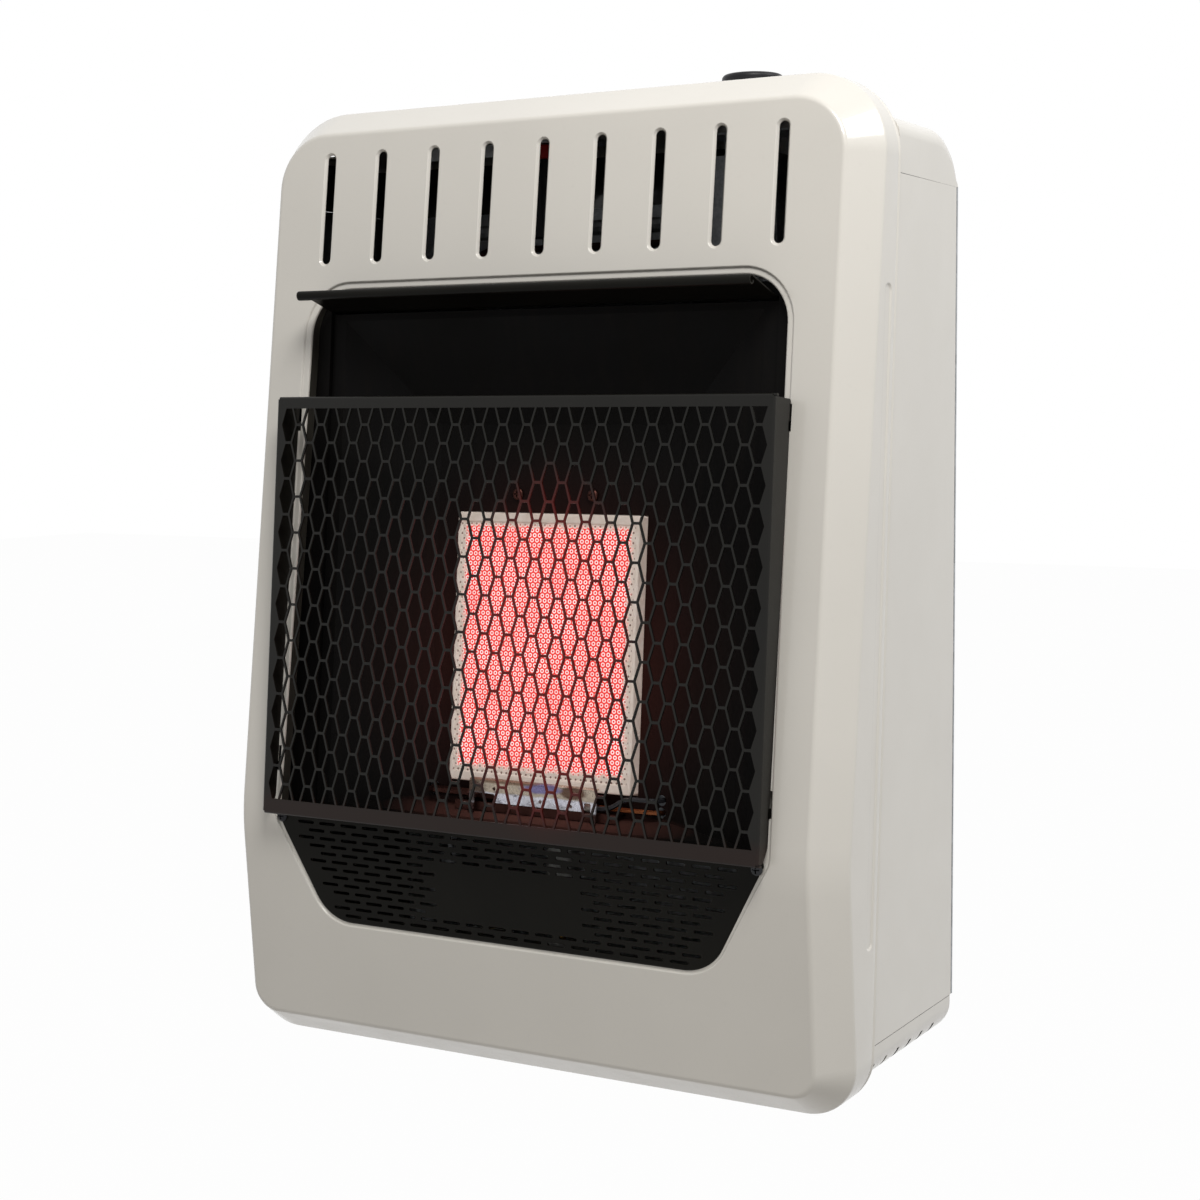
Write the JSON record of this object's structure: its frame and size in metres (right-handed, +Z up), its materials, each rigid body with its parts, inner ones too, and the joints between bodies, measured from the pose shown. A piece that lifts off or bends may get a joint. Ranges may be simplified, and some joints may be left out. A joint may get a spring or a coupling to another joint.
{
  "type": "vent-free infrared plaque heater",
  "caption": "Wall-hung gas heater with a bowed steel casing, one lit ceramic plaque in a black hearth, a lift-off mesh guard, a push-and-turn knob and a spark button.",
  "frame": {"origin": "on the wall plane at the back panel's rear face, midway between the two keyhole slots", "axes": "+X to the right of someone facing the heater, +Y into the wall, +Z up"},
  "size_m": [0.416, 0.1965, 0.5885],
  "materials": {
    "cream_enamel": "gloss",
    "satin_black": "satin",
    "firebox_black": "matte",
    "plaque_ceramic": "matte, porous",
    "fibre_gasket": "matte",
    "galvanised_sheet": "spangled",
    "aluminised_sheet": "satin",
    "bare_aluminium": "cast, satin",
    "brass": "machined",
    "copper": "drawn, satin",
    "plated_steel": "zinc plated",
    "porcelain": "glazed",
    "red_plastic": "moulded",
    "black_plastic": "moulded",
    "lead_sleeve": "matte"
  },
  "bodies": {
    "casing": {"front_panel": "cream_enamel", "side_panel_left": "cream_enamel", "side_panel_right": "cream_enamel", "top_cover": "cream_enamel", "bottom_pan": "cream_enamel", "back_panel": "galvanised_sheet", "firebox_bracket_left": "galvanised_sheet", "firebox_bracket_right": "galvanised_sheet", "louvre_panel": "satin_black", "louvre_screw_left": "plated_steel", "louvre_screw_right": "plated_steel", "regulator": "bare_aluminium", "regulator_stand": "galvanised_sheet", "inlet_fitting": "brass", "gas_valve_body": "bare_aluminium", "valve_bracket": "galvanised_sheet", "igniter_body": "black_plastic", "igniter_nut": "red_plastic", "blank_plate": "galvanised_sheet", "inlet_gas_tube": "bare_aluminium", "burner_gas_tube": "bare_aluminium", "pilot_gas_tube": "bare_aluminium", "thermocouple_lead": "copper", "igniter_lead": "lead_sleeve", "firebox_shell": "firebox_black", "reflector": "firebox_black", "reflector_screw_left": "plated_steel", "reflector_screw_right": "plated_steel", "heat_deflector": "satin_black", "ceramic_plaque": "plaque_ceramic", "plaque_gasket": "fibre_gasket", "burner_box": "aluminised_sheet", "venturi_tube": "aluminised_sheet", "injector_carrier": "aluminised_sheet", "gas_injector": "brass", "pilot_shield": "galvanised_sheet", "pilot_bracket": "galvanised_sheet", "pilot_burner": "brass", "thermocouple": "copper", "spark_electrode": "porcelain"},
    "plug": {"valve_plug": "brass"},
    "knob": {"valve_stem": "plated_steel", "control_knob": "black_plastic"},
    "button": {"igniter_button": "black_plastic"},
    "guard": {"guard": "satin_black"}
  },
  "joints": [
    {"name": "valve_turn", "type": "hinge", "parent": "casing", "child": "plug", "pos_m": [0.1046, -0.07, 0.07], "axis": [0, 0, 1], "range_deg": [0, 180]},
    {"name": "knob_push", "type": "slide", "parent": "plug", "child": "knob", "axis": [0, 0, -1], "range_m": [0, 0.005], "stiffness_N_per_m": 700, "springref_m": -0.003},
    {"name": "button_push", "type": "slide", "parent": "casing", "child": "button", "axis": [0, 0, -1], "range_m": [0, 0.008], "stiffness_N_per_m": 600, "springref_m": -0.004},
    {"name": "guard_lift", "type": "slide", "parent": "casing", "child": "guard", "axis": [0, 0.0828, 0.9966], "range_m": [0, 0.009]}
  ]
}
